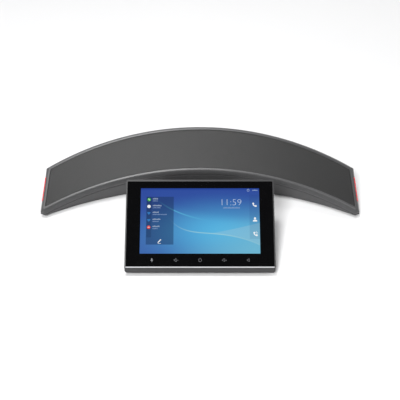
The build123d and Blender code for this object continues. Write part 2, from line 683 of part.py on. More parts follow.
with BuildPart() as lcd_backlight:
    plane_block(
        SCREEN,
        (-PANEL_W / 2, PANEL_V - PANEL_H / 2, -GLASS_T - CELL_T - BACKLIGHT_T),
        (PANEL_W / 2, PANEL_V + PANEL_H / 2, -GLASS_T - CELL_T),
    )

with BuildPart() as touch_key_board:
    plane_block(
        SCREEN,
        (-80, KEYS_V - KEYS_H / 2, -GLASS_T - ADHESIVE_T - 0.8),
        (80, KEYS_V + KEYS_H / 2, -GLASS_T - ADHESIVE_T),
    )

with BuildPart() as display_frame:
    outside = screen_rectangle(FRAME_T, FRAME_W, FRAME_LOW, FRAME_HIGH, 3.0)
    add(extrude(outside, amount=FRAME_T, mode=Mode.PRIVATE))
    # Chin: one 45 degree face below the glass, with a step for the bright trim.
    with BuildSketch(SIDE.offset(-FRAME_W)):
        with BuildLine():
            Polyline(
                (-GLASS_H / 2, 0),
                (FRAME_LOW - 1, -TRIM - CHIN - 1),
                (FRAME_LOW - 5, 0),
                (FRAME_LOW - 5, 2),
                (-GLASS_H / 2, 2),
                close=True,
            )
        make_face()
    extrude(amount=2 * FRAME_W, mode=Mode.SUBTRACT)
    # Seat of the glass, opening for the panel and a shallow seat for the touch keys' board.
    plane_block(
        SCREEN,
        (-GLASS_W / 2 - 0.05, -GLASS_H / 2 - TRIM, -GLASS_T - ADHESIVE_T),
        (GLASS_W / 2 + 0.05, GLASS_H / 2 + 0.05, 1),
        Mode.SUBTRACT,
    )
    plane_block(
        SCREEN,
        (-PANEL_W / 2 - 0.3, PANEL_V - PANEL_H / 2 - 0.3, -20),
        (PANEL_W / 2 + 0.3, PANEL_V + PANEL_H / 2 + 0.3, 1),
        Mode.SUBTRACT,
    )
    plane_block(
        SCREEN,
        (-80.2, KEYS_V - KEYS_H / 2 - 0.2, -GLASS_T - ADHESIVE_T - 1.0),
        (80.2, KEYS_V + KEYS_H / 2 + 0.2, 1),
        Mode.SUBTRACT,
    )
    for x, v in DISPLAY_SCREWS:
        plane_rod(SCREEN, x, v, -10, -3.6, 1.23, Mode.SUBTRACT)

with BuildPart() as chin_trim:
    with BuildSketch(SIDE.offset(-GLASS_W / 2)):
        with BuildLine():
            Polyline(
                (-GLASS_H / 2 - 0.05, 0),
                (-GLASS_H / 2 - TRIM, -TRIM),
                (-GLASS_H / 2 - TRIM, -GLASS_T - ADHESIVE_T),
                (-GLASS_H / 2 - 0.05, -GLASS_T - ADHESIVE_T),
                close=True,
            )
        make_face()
    extrude(amount=GLASS_W)

REAR_FACE = -FRAME_T - BACK_T
COVER_W, COVER_HIGH = FRAME_W - 0.8, FRAME_HIGH - 0.4
COVER_TAPER = 5.6  # the back cover draws in by this much on its way back
with BuildPart() as back_cover:
    loft(
        [
            screen_rectangle(FRAME_T, COVER_W, FRAME_LOW + 1.0, COVER_HIGH, 3.0),
            screen_rectangle(FRAME_T + 1.8, COVER_W - 1.2, FRAME_LOW + 3.4, COVER_HIGH - 0.6, 3.6),
            screen_rectangle(-REAR_FACE, COVER_W - 2 * COVER_TAPER, -52, COVER_HIGH - COVER_TAPER, 7),
        ],
        ruled=True,
    )
    inner_w, inner_high = COVER_W - 2 * SKIN, COVER_HIGH - SKIN
    inside = loft(
        [
            screen_rectangle(FRAME_T - 0.01, inner_w, FRAME_LOW + 4.4, inner_high, 2),
            screen_rectangle(
                -REAR_FACE - SKIN, inner_w - 2 * COVER_TAPER - 1, -50, inner_high - COVER_TAPER - 1, 5
            ),
        ],
        ruled=True,
        mode=Mode.PRIVATE,
    )
    add(inside, mode=Mode.SUBTRACT)
    # Walls round the hinge pocket, then the pocket.
    pocket_wall = POCKET_HALF + 1.6
    plane_block(SCREEN, (-pocket_wall, -54, REAR_FACE + 0.5), (pocket_wall, -32, -FRAME_T - 0.2))
    plane_block(
        SCREEN,
        (-POCKET_HALF, POCKET_LOW, -20),
        (POCKET_HALF, POCKET_HIGH, POCKET_FLOOR),
        Mode.SUBTRACT,
    )
    for side in (-1, 1):
        plane_rod(SCREEN, side * EAR_SCREW[0], EAR_SCREW[1], -12, -FRAME_T, 1.03, Mode.SUBTRACT)
    # Screw bosses, and posts for the display's board.
    for x, v in DISPLAY_SCREWS:
        plane_rod(SCREEN, x, v, REAR_FACE + 0.5, -FRAME_T, 3.0)
        plane_rod(SCREEN, x, v, -20, 0, 1.3, Mode.SUBTRACT)
        plane_rod(SCREEN, x, v, -20, REAR_FACE + 1.8, 2.6, Mode.SUBTRACT)
    for x, v in BOARD_POSTS:
        plane_rod(SCREEN, x, v, REAR_FACE + 0.5, -8.2, 2.6)
        plane_rod(SCREEN, x, v, REAR_FACE + 2.2, 0, 1.03, Mode.SUBTRACT)

with BuildPart() as display_board:
    plane_block(SCREEN, (-60, -18, -8.2), (60, 34, -7.0))
    for x, v in BOARD_POSTS:
        plane_rod(SCREEN, x, v, -20, 0, 1.2, Mode.SUBTRACT)

with BuildPart() as display_board_screws:
    for x, v in BOARD_POSTS:
        plane_rod(SCREEN, x, v, -7.0, -5.9, 2.0)
        plane_rod(SCREEN, x, v, -10.8, -7.0, 1.0)
        plane_rod(SCREEN, x, v, -6.5, -5.9, 0.7, Mode.SUBTRACT)

with BuildPart() as display_screws:
    for x, v in DISPLAY_SCREWS:
        plane_rod(SCREEN, x, v, REAR_FACE + 0.3, REAR_FACE + 1.8, 2.4)
        plane_rod(SCREEN, x, v, REAR_FACE + 1.8, -4.0, 1.2)
        plane_rod(SCREEN, x, v, REAR_FACE + 0.3, REAR_FACE + 1.1, 0.8, Mode.SUBTRACT)

# ---------------------------------------------------------------- write the pieces
PIECES = {
    "lower_shell": lower_shell,
    "upper_shell": upper_shell,
    "grille_carrier": grille_carrier,
    "grille_cloth": grille_cloth,
    "status_lens_left": status_lens_left,
    "status_lens_right": status_lens_right,
    "status_board_left": status_board_left,
    "status_board_right": status_board_right,
    "speaker_gasket": speaker_gasket,
    "speaker_basket": speaker_basket,
    "speaker_surround": speaker_surround,
    "speaker_cone": speaker_cone,
    "speaker_dust_cap": speaker_dust_cap,
    "speaker_magnet": speaker_magnet,
    "microphones": microphones,
    "main_board": main_board,
    "shield_can": shield_can,
    "board_connectors": board_connectors,
    "dc_jack": dc_jack,
    "usb_c_jack": usb_c_jack,
    "usb_a_jack": usb_a_jack,
    "ethernet_jack": ethernet_jack,
    "port_housing": port_housing,
    "reset_switch": reset_switch,
    "reset_button": reset_button,
    "case_screws": case_screws,
    "board_screws": board_screws,
    "rubber_feet": rubber_feet,
    "neck_cover": neck_cover,
    "hinge_arm": hinge_arm,
    "arm_screws": arm_screws,
    "hinge_pin": hinge_pin,
    "hinge_ear_left": hinge_ear_left,
    "hinge_ear_right": hinge_ear_right,
    "ear_screws": ear_screws,
    "front_glass": front_glass,
    "glass_adhesive": glass_adhesive,
    "lcd_cell": lcd_cell,
    "lcd_backlight": lcd_backlight,
    "touch_key_board": touch_key_board,
    "display_frame": display_frame,
    "chin_trim": chin_trim,
    "back_cover": back_cover,
    "display_board": display_board,
    "display_board_screws": display_board_screws,
    "display_screws": display_screws,
}
for name, piece in PIECES.items():
    piece.part.label = name
    export_step(piece.part, f"parts/{name}.step")
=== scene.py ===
"""Looks of the conference desk phone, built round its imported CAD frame. All lengths are in metres."""

import json
from math import cos, exp, pi, radians, sin, sqrt

import bmesh
import bpy
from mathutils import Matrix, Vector


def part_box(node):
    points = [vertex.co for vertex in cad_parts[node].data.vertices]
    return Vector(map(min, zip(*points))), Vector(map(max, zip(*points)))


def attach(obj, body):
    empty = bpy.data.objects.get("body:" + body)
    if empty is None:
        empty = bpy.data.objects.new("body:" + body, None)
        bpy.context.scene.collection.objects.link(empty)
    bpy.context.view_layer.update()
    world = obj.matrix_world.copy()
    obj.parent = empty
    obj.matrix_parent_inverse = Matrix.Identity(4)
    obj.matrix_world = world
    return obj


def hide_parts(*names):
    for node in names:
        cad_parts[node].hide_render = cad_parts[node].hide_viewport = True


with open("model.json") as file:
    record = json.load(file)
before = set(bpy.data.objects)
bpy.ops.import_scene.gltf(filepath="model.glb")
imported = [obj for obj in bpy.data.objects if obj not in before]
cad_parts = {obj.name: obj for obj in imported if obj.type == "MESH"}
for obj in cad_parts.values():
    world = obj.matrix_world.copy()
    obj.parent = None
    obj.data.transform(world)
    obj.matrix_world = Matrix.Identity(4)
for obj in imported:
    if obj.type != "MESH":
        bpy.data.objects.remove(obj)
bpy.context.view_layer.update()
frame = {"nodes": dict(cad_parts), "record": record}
scene = bpy.context.scene

MM = 0.001

# ---------------------------------------------------------------- driving dimensions
SLOPE = radians(23)  # rise of the speaker arc's top face
RIM_Y, RIM_Z = 46.0 * MM, 38.5 * MM  # front edge of the top face on the centre line
BAND = 66.3 * MM  # depth of the top face, up its slope
FRONT_RADIUS, REAR_RADIUS = 416 * MM, 386 * MM  # its two curved edges
HALF_FRONT, HALF_REAR = 216.7 * MM, 214.0 * MM  # from its middle to its ends, at those edges
CLOTH_INSET = 2.55 * MM  # from the top face's edge to the cloth's edge
CLOTH_DROP = 0.7 * MM  # the cloth's edge below the top face
CLOTH_THICK = 0.6 * MM
CLOTH_CROWN = 0.5 * MM  # the cloth stands up this much between its edges
CLOTH_TURN = 0.8 * MM  # it turns down over the carrier within this much of its edge
THREAD = 1.1 * MM  # pitch of the cloth's weave

TILT = radians(32)  # the screen above the table
GLASS_THICK, TAPE_THICK = 1.6 * MM, 0.3 * MM  # cover glass, and the adhesive under it
PICTURE_W, PICTURE_H = 153.6 * MM, 85.5 * MM
PICTURE_RISE = 3.65 * MM  # the picture's centre above the glass's
PRINT = 0.05 * MM  # thickness of each layer shown on the screen

CAMERA_TARGET = Vector((0, 23.5 * MM, 0))
CAMERA_DISTANCE = 0.916
CAMERA_ELEVATION = radians(45)
CAMERA_LENS, CAMERA_SENSOR = 57.6, 36.0  # in millimetres, as cameras state them


# ---------------------------------------------------------------- node helpers
def srgb(red, green, blue):
    """A colour picked as 0-255 values, as the linear colour that shaders use."""
    shares = [level / 255 for level in (red, green, blue)]
    linear = [c / 12.92 if c <= 0.04045 else ((c + 0.055) / 1.055) ** 2.4 for c in shares]
    return (*linear, 1.0)


def shade(colour, factor):
    """A colour made darker or lighter."""
    return (*(c * factor for c in colour[:3]), 1.0)


class Shader:
    """A new material with a Principled shader, and short ways to add nodes to it."""

    def __init__(self, name):
        self.material = bpy.data.materials.new(name)
        self.material.use_nodes = True
        self.nodes = self.material.node_tree.nodes
        self.links = self.material.node_tree.links
        self.surface = next(n for n in self.nodes if n.type == "BSDF_PRINCIPLED")
        self.place = self.nodes.new("ShaderNodeTexCoord").outputs["Object"]

    def set(self, **values):
        """Constant values, set on the shader's own sockets."""
        for name, value in values.items():
            self.surface.inputs[name.replace("_", " ")].default_value = value
        return self

    def join(self, source, socket):
        """Links a node's output to one of the Principled shader's inputs."""
        self.links.new(source, self.surface.inputs[socket])

    def math(self, operation, a, b=0.0, clamp=False):
        """One Math node."""
        node = self.nodes.new("ShaderNodeMath")
        node.operation = operation
        node.use_clamp = clamp
        for socket, value in zip(node.inputs, (a, b)):
            if isinstance(value, (int, float)):
                socket.default_value = value
            else:
                self.links.new(value, socket)
        return node.outputs[0]

    def fade(self, value, low, high, smooth=True):
        """0 where value is at low, 1 where it is at high."""
        node = self.nodes.new("ShaderNodeMapRange")
        node.interpolation_type = "SMOOTHSTEP" if smooth else "LINEAR"
        node.inputs["From Min"].default_value = low
        node.inputs["From Max"].default_value = high
        self.links.new(value, node.inputs["Value"])
        return node.outputs[0]

    def between(self, value, low, high):
        """A value from low to high, from a 0 to 1 value."""
        node = self.nodes.new("ShaderNodeMapRange")
        node.inputs["To Min"].default_value = low
        node.inputs["To Max"].default_value = high
        self.links.new(value, node.inputs["Value"])
        return node.outputs[0]

    def noise(self, size, detail=3.0, stretch=(1, 1, 1)):
        """Noise from 0 to 1 whose lumps are about size across."""
        mapping = self.nodes.new("ShaderNodeMapping")
        mapping.inputs["Scale"].default_value = stretch
        self.links.new(self.place, mapping.inputs["Vector"])
        node = self.nodes.new("ShaderNodeTexNoise")
        node.inputs["Scale"].default_value = 1 / size
        node.inputs["Detail"].default_value = detail
        self.links.new(mapping.outputs[0], node.inputs["Vector"])
        return node.outputs[0]

    def mix(self, factor, first, second):
        """A colour between two colours."""
        node = self.nodes.new("ShaderNodeMix")
        node.data_type = "RGBA"
        sockets = (node.inputs[0], node.inputs[6], node.inputs[7])  # the factor and the two colours
        for socket, value in zip(sockets, (factor, first, second)):
            if hasattr(value, "is_output"):
                self.links.new(value, socket)
            else:
                socket.default_value = value
        return node.outputs[2]

    def bump(self, height, depth, strength=1.0):
        """Relief of that depth, from a 0 to 1 height."""
        node = self.nodes.new("ShaderNodeBump")
        node.inputs["Strength"].default_value = strength
        node.inputs["Distance"].default_value = depth
        self.links.new(height, node.inputs["Height"])
        self.join(node.outputs[0], "Normal")


# ---------------------------------------------------------------- materials
def moulded(name, colour, roughness, grain=0.35 * MM, depth=0.012 * MM, spread=0.12):
    """Moulded plastic: a fine spark-eroded grain and slow changes of tone and gloss."""
    shader = Shader(name).set(Specular_IOR_Level=0.42)
    tone = shader.noise(9 * MM, 5)
    shader.join(shader.mix(tone, shade(colour, 1 - spread), shade(colour, 1 + spread)), "Base Color")
    fine = shader.noise(grain, 2)
    handled = shader.noise(30 * MM, 4)
    gloss = shader.between(handled, roughness - 0.05, roughness + 0.03)
    shader.join(shader.math("ADD", gloss, shader.between(fine, -0.03, 0.03)), "Roughness")
    shader.bump(fine, depth)
    return shader


def shell_plastic():
    return moulded("charcoal_shell", srgb(70, 70, 71), 0.36)


def carrier_plastic():
    return moulded("carrier_plastic", srgb(34, 34, 36), 0.55, grain=0.6 * MM, depth=0.02 * MM)


def display_plastic():
    return moulded("display_shell", srgb(53, 53, 54), 0.36)


def connector_plastic():
    return moulded("connector_plastic", srgb(24, 24, 25), 0.5, grain=0.25 * MM, depth=0.02 * MM)


def button_plastic():
    return moulded("button_plastic", srgb(205, 204, 198), 0.4, grain=0.2 * MM)


def rubber():
    """Soft rubber: rough, with a bloom of dust."""
    shader = Shader("foot_rubber").set(Sheen_Weight=0.3)
    shader.join(shader.mix(shader.noise(2 * MM, 6), srgb(30, 30, 31), srgb(52, 52, 52)), "Base Color")
    shader.join(shader.between(shader.noise(5 * MM), 0.72, 0.92), "Roughness")
    shader.bump(shader.noise(0.5 * MM, 4), 0.05 * MM)
    return shader


def soft_seal():
    """Black foam tape: open cells."""
    shader = Shader("soft_seal").set(Roughness=0.95)
    cells = shader.noise(0.4 * MM, 1)
    shader.join(shader.mix(cells, srgb(12, 12, 12), srgb(40, 40, 40)), "Base Color")
    shader.bump(cells, 0.15 * MM)
    return shader


def metal(name, colour, roughness, brush=(1, 1, 12), scratch=0.6 * MM):
    """Metal with a drawn finish: fine lines that vary its gloss, and slow changes of tone."""
    shader = Shader(name).set(Metallic=1.0)
    lines = shader.noise(scratch, 6, brush)
    worn = shader.noise(6 * MM, 4)
    shader.join(shader.mix(worn, shade(colour, 0.8), colour), "Base Color")
    shader.join(shader.between(lines, roughness - 0.08, roughness + 0.12), "Roughness")
    shader.bump(lines, 0.006 * MM)
    return shader


def bright_trim():
    return metal("bright_trim", srgb(226, 227, 230), 0.16, brush=(0.05, 1, 1), scratch=0.3 * MM)


def pressed_steel():
    return metal("pressed_steel", srgb(190, 190, 186), 0.32)


def screw_steel():
    return metal("screw_steel", srgb(120, 121, 124), 0.35, brush=(1, 1, 1), scratch=0.4 * MM)


def hinge_steel():
    return metal("hinge_steel", srgb(96, 97, 100), 0.35, brush=(0.1, 1, 1))


def panel_tray():
    return metal("panel_tray", srgb(196, 197, 200), 0.3)


def magnet_steel():
    """Ferrite: dull, dark and a little pitted."""
    shader = Shader("magnet_steel").set(Metallic=0.4)
    pits = shader.noise(0.9 * MM, 5)
    shader.join(shader.mix(pits, srgb(38, 38, 40), srgb(70, 70, 73)), "Base Color")
    shader.join(shader.between(pits, 0.5, 0.75), "Roughness")
    shader.bump(pits, 0.04 * MM)
    return shader


def circuit_board():
    """Green solder mask with the faint relief of its tracks."""
    shader = Shader("circuit_board").set(Coat_Weight=0.4, Coat_Roughness=0.2)
    bricks = shader.nodes.new("ShaderNodeTexBrick")
    bricks.inputs["Scale"].default_value = 1 / (9 * MM)
    bricks.inputs["Mortar Size"].default_value = 0.06
    shader.links.new(shader.place, bricks.inputs["Vector"])
    tracks = bricks.outputs["Fac"]
    shader.join(shader.mix(tracks, srgb(12, 84, 46), srgb(34, 120, 66)), "Base Color")
    shader.join(shader.between(shader.noise(3 * MM), 0.32, 0.48), "Roughness")
    shader.bump(tracks, 0.03 * MM)
    return shader


def paper_cone():
    """Pressed pulp: matt black with fibres."""
    shader = Shader("paper_cone").set(Roughness=0.9)
    fibres = shader.noise(0.8 * MM, 6, (1, 3, 1))
    shader.join(shader.mix(fibres, srgb(22, 22, 23), srgb(52, 52, 53)), "Base Color")
    shader.bump(fibres, 0.08 * MM)
    return shader


def status_lens():
    """Red lens with lamps behind it: brightest at each lamp."""
    lamp_pitch = 6.0 * MM
    shader = Shader("status_lens").set(
        Roughness=0.25, Transmission_Weight=0.15, IOR=1.49, Specular_IOR_Level=0.15, Emission_Strength=0.6
    )
    axes = shader.nodes.new("ShaderNodeSeparateXYZ")
    shader.links.new(shader.place, axes.inputs[0])
    wave = shader.math("COSINE", shader.math("MULTIPLY", axes.outputs["Y"], 2 * pi / lamp_pitch))
    lamp = shader.fade(wave, -1.0, 1.0)
    shader.join(shader.mix(lamp, srgb(130, 8, 20), srgb(190, 16, 32)), "Base Color")
    shader.join(shader.mix(lamp, srgb(168, 6, 22), srgb(226, 22, 38)), "Emission Color")
    shader.bump(shader.noise(0.5 * MM, 2), 0.01 * MM)
    return shader


def cover_glass():
    """Black-printed cover glass: deep gloss with faint smears."""
    shader = Shader("cover_glass").set(IOR=1.5)
    smears = shader.noise(14 * MM, 6, (1, 2.5, 1))
    shader.join(shader.mix(smears, srgb(4, 4, 5), srgb(7, 7, 8)), "Base Color")
    shader.join(shader.between(smears, 0.02, 0.06), "Roughness")
    return shader


def panel_glass():
    """The display cell, seen only from its edge."""
    shader = Shader("panel_glass").set(IOR=1.5)
    shader.join(shader.mix(shader.noise(4 * MM), srgb(22, 28, 44), srgb(34, 42, 60)), "Base Color")
    shader.join(shader.between(shader.noise(8 * MM), 0.08, 0.18), "Roughness")
    return shader


def speaker_cloth():
    """Plain acoustic weave: over-and-under threads along and across the band, with flecks of tone."""
    shader = Shader("speaker_cloth").set(Sheen_Weight=0.05, Sheen_Roughness=0.5, Specular_IOR_Level=0.22)
    flat = shader.nodes.new("ShaderNodeUVMap")
    flat.uv_map = "flat"
    axes = shader.nodes.new("ShaderNodeSeparateXYZ")
    shader.links.new(flat.outputs[0], axes.inputs[0])
    across = shader.math("SINE", shader.math("MULTIPLY", axes.outputs["X"], 2 * pi / THREAD))
    along = shader.math("SINE", shader.math("MULTIPLY", axes.outputs["Y"], 2 * pi / THREAD))
    threads = shader.fade(shader.math("MULTIPLY", across, along), -1.0, 1.0, smooth=False)
    fleck = shader.noise(0.9 * MM, 4)
    slow = shader.noise(25 * MM, 3)
    yarn = shader.mix(threads, srgb(25, 25, 25), srgb(51, 51, 51))
    flecked = shader.mix(shader.between(fleck, 0.0, 0.5), yarn, srgb(46, 46, 46))
    shader.join(shader.mix(shader.between(slow, 0.0, 0.25), flecked, srgb(40, 40, 40)), "Base Color")
    shader.join(shader.between(fleck, 0.3, 0.4), "Roughness")
    shader.bump(threads, 0.09 * MM, 0.6)
    return shader


# ---------------------------------------------------------------- the picture on the screen
SCREEN_GLASS = {"Base_Color": srgb(4, 4, 5), "Roughness": 0.06, "IOR": 1.5, "Emission_Strength": 1.0}


def picture_light():
    """Wallpaper of blue light with two sweeping edges, under a side panel, for the plate's 0 to 1 UVs."""
    shader = Shader("screen_picture").set(**SCREEN_GLASS)
    sheet = shader.nodes.new("ShaderNodeUVMap")
    sheet.uv_map = "flat"
    axes = shader.nodes.new("ShaderNodeSeparateXYZ")
    shader.links.new(sheet.outputs[0], axes.inputs[0])
    x, y = axes.outputs["X"], axes.outputs["Y"]

    def add(*terms):
        """The sum of several terms."""
        total = terms[0]
        for term in terms[1:]:
            total = shader.math("ADD", total, term)
        return total

    def times(a, b):
        """The product of two terms."""
        return shader.math("MULTIPLY", a, b)

    def decay(start, drop, rate):
        """start + drop * e^(-rate x)."""
        return add(times(shader.math("POWER", exp(-rate), x), drop), start)

    def ramp_from(x_start, gain, power):
        """gain * (x - x_start)^power, and 0 before x_start."""
        beyond = shader.math("MAXIMUM", shader.math("SUBTRACT", x, x_start), 0.0)
        return times(shader.math("POWER", beyond, power), gain)

    def band(value, low, high, edge=0.004):
        """1 between two values and 0 outside them."""
        above_low = shader.fade(value, low - edge, low + edge)
        return times(above_low, shader.fade(value, high + edge, high - edge))

    upper_edge = decay(0.42, 0.664, 3.67)
    lower_edge = add(decay(0.30, 2.9, 10.4), ramp_from(0.5, -0.97, 2.5))
    wedge_edge = add(ramp_from(0.55, 0.45, 1.25), 0.305)
    under_upper = shader.math("SUBTRACT", upper_edge, y)
    under_lower = shader.math("SUBTRACT", lower_edge, y)
    under_wedge = shader.math("SUBTRACT", wedge_edge, y)

    # Glow: a pool of light right of the middle, and a greener one in the lower right corner.
    off_x = times(add(x, -0.68), 1.25)
    off_y = times(add(y, -0.34), 1.55)
    reach = shader.math("SQRT", add(times(off_x, off_x), times(off_y, off_y)))
    pool = shader.fade(reach, 1.0, 0.0)
    corner = shader.fade(add(times(x, 0.8), times(y, -0.7)), 0.1, 0.85)
    floor_glow = shader.fade(y, 1.0, 0.1)
    deep = shader.mix(floor_glow, srgb(46, 74, 156), srgb(62, 104, 172))
    colour = shader.mix(pool, deep, srgb(84, 176, 222))
    colour = shader.mix(times(corner, 0.8), colour, srgb(118, 192, 214))
    # Above the upper edge it is a little deeper, and the wedge at the right a little paler.
    above = times(shader.fade(under_upper, 0.02, -0.16), 0.3)
    colour = shader.mix(above, colour, srgb(50, 84, 160))
    wedge = times(shader.fade(under_wedge, 0.0, 0.01), shader.fade(under_lower, 0.01, 0.0))
    wedge = times(times(wedge, 0.16), shader.fade(x, 0.5, 0.7))
    colour = shader.mix(wedge, colour, srgb(196, 216, 214))
    # The two bright edges.
    first = shader.fade(shader.math("ABSOLUTE", under_upper), 0.016, 0.0)
    first = times(times(first, shader.fade(x, 0.62, 0.3)), shader.fade(x, 0.12, 0.27))
    colour = shader.mix(times(first, 0.55), colour, srgb(96, 196, 226))
    second = shader.fade(shader.math("ABSOLUTE", under_lower), 0.014, 0.0)
    weaker = shader.between(shader.fade(x, 0.6, 1.0), 0.6, 0.2)
    second = times(times(second, shader.fade(x, 0.2, 0.5)), weaker)
    colour = shader.mix(second, colour, srgb(170, 214, 214))
    # Side panel with its darker column of icons, and the status line along the top.
    panel = times(band(x, 0.049, 0.279), band(y, 0.135, 0.868))
    colour = shader.mix(times(panel, 0.62), colour, srgb(30, 56, 96))
    column = times(band(x, 0.052, 0.092), band(y, 0.243, 0.868))
    colour = shader.mix(times(column, 0.3), colour, srgb(20, 34, 70))
    dock = times(band(x, 0.915, 1.1), band(y, 0.22, 0.9))
    colour = shader.mix(times(dock, 0.16), colour, srgb(30, 56, 120))
    status = shader.fade(y, 0.955, 1.0)
    colour = shader.mix(times(status, 0.55), colour, srgb(16, 50, 140))
    shader.join(colour, "Emission Color")
    return shader


def lit(name, colour):
    """One flat-lit colour of the screen, with a slow unevenness of the backlight."""
    shader = Shader(name).set(**SCREEN_GLASS)
    shader.join(shader.mix(shader.noise(6 * MM, 2), shade(colour, 0.9), colour), "Emission Color")
    return shader


def key_print():
    """Grey ink printed on the glass, for the touch keys."""
    shader = Shader("key_print").set(Roughness=0.2)
    shader.join(shader.mix(shader.noise(1.5 * MM), srgb(92, 93, 96), srgb(118, 119, 122)), "Base Color")
    return shader


# ---------------------------------------------------------------- screen frame
tape_low, tape_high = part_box("glass_adhesive")
UP_SCREEN = Vector((0, cos(TILT), sin(TILT)))
OUT_OF_SCREEN = Vector((0, -sin(TILT), cos(TILT)))
glass_face = (tape_low + tape_high) / 2 + OUT_OF_SCREEN * (TAPE_THICK / 2 + GLASS_THICK)
picture_centre = glass_face + UP_SCREEN * PICTURE_RISE


def on_screen(u, v, height):
    """A point from the picture's centre: u to the right, v up the screen, and height above the glass."""
    return picture_centre + Vector((u, 0, 0)) + UP_SCREEN * v + OUT_OF_SCREEN * height


# ---------------------------------------------------------------- outlines on the screen, as (u, v) points
def polar(u, v, radius, angle):
    """The point at a radius and an angle from (u, v)."""
    return (u + radius * cos(angle), v + radius * sin(angle))


def rounded(u, v, width, height, corner, steps=5):
    """A rectangle centred on (u, v) with round corners."""
    points = []
    for quarter, (side_u, side_v) in enumerate(((1, 1), (-1, 1), (-1, -1), (1, -1))):
        corner_u = u + side_u * (width / 2 - corner)
        corner_v = v + side_v * (height / 2 - corner)
        for step in range(steps + 1):
            points.append(polar(corner_u, corner_v, corner, (quarter + step / steps) * pi / 2))
    return points


def disc(u, v, radius, steps=28):
    """A whole disc."""
    return [polar(u, v, radius, 2 * pi * i / steps) for i in range(steps)]


def arc_stroke(u, v, radius, width, start, end, steps=20):
    """A curved stroke: part of a ring, between two angles in degrees."""
    angles = [radians(start + (end - start) * i / steps) for i in range(steps + 1)]
    outer = [polar(u, v, radius + width / 2, angle) for angle in angles]
    inner = [polar(u, v, radius - width / 2, angle) for angle in angles]
    return outer + inner[::-1]


def ring(u, v, radius, width):
    """A whole ring, as two half strokes."""
    return [arc_stroke(u, v, radius, width, 0, 180), arc_stroke(u, v, radius, width, 180, 360)]


def outline_strokes(corners, width):
    """Straight strokes from corner to corner of a closed shape."""
    return [line_stroke(a, b, width) for a, b in zip(corners, corners[1:] + corners[:1])]


def line_stroke(start, end, width):
    """A straight stroke between two points."""
    along = Vector(end) - Vector(start)
    side = Vector((-along.y, along.x)).normalized() * width / 2
    return [
        (start[0] + side.x, start[1] + side.y),
        (start[0] - side.x, start[1] - side.y),
        (end[0] - side.x, end[1] - side.y),
        (end[0] + side.x, end[1] + side.y),
    ]


def handset(u, v, size):
    """A telephone handset, drawn leaning: a bow with two end pieces."""
    radius = size * 0.62
    bow_u, bow_v = u + radius * 0.62, v + radius * 0.62
    shapes = [arc_stroke(bow_u, bow_v, radius, size * 0.2, 180, 270)]
    for angle in (184, 266):
        end_u, end_v = polar(bow_u, bow_v, radius - size * 0.06, radians(angle))
        shapes.append(disc(end_u, end_v, size * 0.19, 16))
    return shapes


def person(u, v, size):
    """Head and shoulders."""
    half, rise = size * 0.5, size * 0.3
    shoulders = [(u - half, v - half), (u + half, v - half)]
    for angle in range(0, 181, 15):
        shoulders.append((u + half * cos(radians(angle)), v - size * 0.36 + rise * sin(radians(angle))))
    return [disc(u, v + size * 0.24, size * 0.25, 20), shoulders]


def heart(u, v, size, steps=30):
    """A heart, from its usual formula."""
    points = []
    for i in range(steps):
        t = 2 * pi * i / steps
        wide = 16 * sin(t) ** 3
        tall = 13 * cos(t) - 5 * cos(2 * t) - 2 * cos(3 * t) - cos(4 * t)
        points.append((u - size * wide / 34, v + size * tall / 34))
    return points


def pencil(u, v, size):
    """A slanting pencil with its tip on a line."""
    low, high = (u - size * 0.3, v - size * 0.3), (u + size * 0.45, v + size * 0.5)
    tip = [(u + size * a, v + size * b) for a, b in ((-0.5, -0.5), (-0.2, -0.38), (-0.38, -0.2))]
    line = rounded(u, v - size * 0.62, size * 0.9, size * 0.1, size * 0.04)
    return [line_stroke(low, high, size * 0.26), tip, line]


# ---------------------------------------------------------------- piece makers
def add_piece(name, mesh, shader, body):
    """Puts a new mesh into the scene, on a CAD body."""
    piece = bpy.data.objects.new(name, mesh)
    scene.collection.objects.link(piece)
    mesh.materials.append(shader.material)
    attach(piece, body)
    return piece


def plates(name, outlines, shader, low, thick=PRINT):
    """Thin closed plates on the screen, one for each outline, from low above the glass."""
    built = bmesh.new()
    flat = built.loops.layers.uv.new("flat")
    for outline in outlines:
        turn = sum(a[0] * b[1] - b[0] * a[1] for a, b in zip(outline, outline[1:] + outline[:1]))
        ordered = outline if turn > 0 else outline[::-1]
        bottom = [built.verts.new(on_screen(u, v, low)) for u, v in ordered]
        top = [built.verts.new(on_screen(u, v, low + thick)) for u, v in ordered]
        faces = [built.faces.new(top), built.faces.new(bottom[::-1])]
        for i in range(len(ordered)):
            j = (i + 1) % len(ordered)
            faces.append(built.faces.new((bottom[i], bottom[j], top[j], top[i])))
        place = {vert: point for verts in (bottom, top) for vert, point in zip(verts, ordered)}
        for face in faces:
            for loop in face.loops:
                u, v = place[loop.vert]
                loop[flat].uv = (u / PICTURE_W + 0.5, v / PICTURE_H + 0.5)
    mesh = bpy.data.meshes.new(name)
    bmesh.ops.triangulate(built, faces=[f for f in built.faces if len(f.verts) > 4])
    built.to_mesh(mesh)
    built.free()
    add_piece(name, mesh, shader, "display")


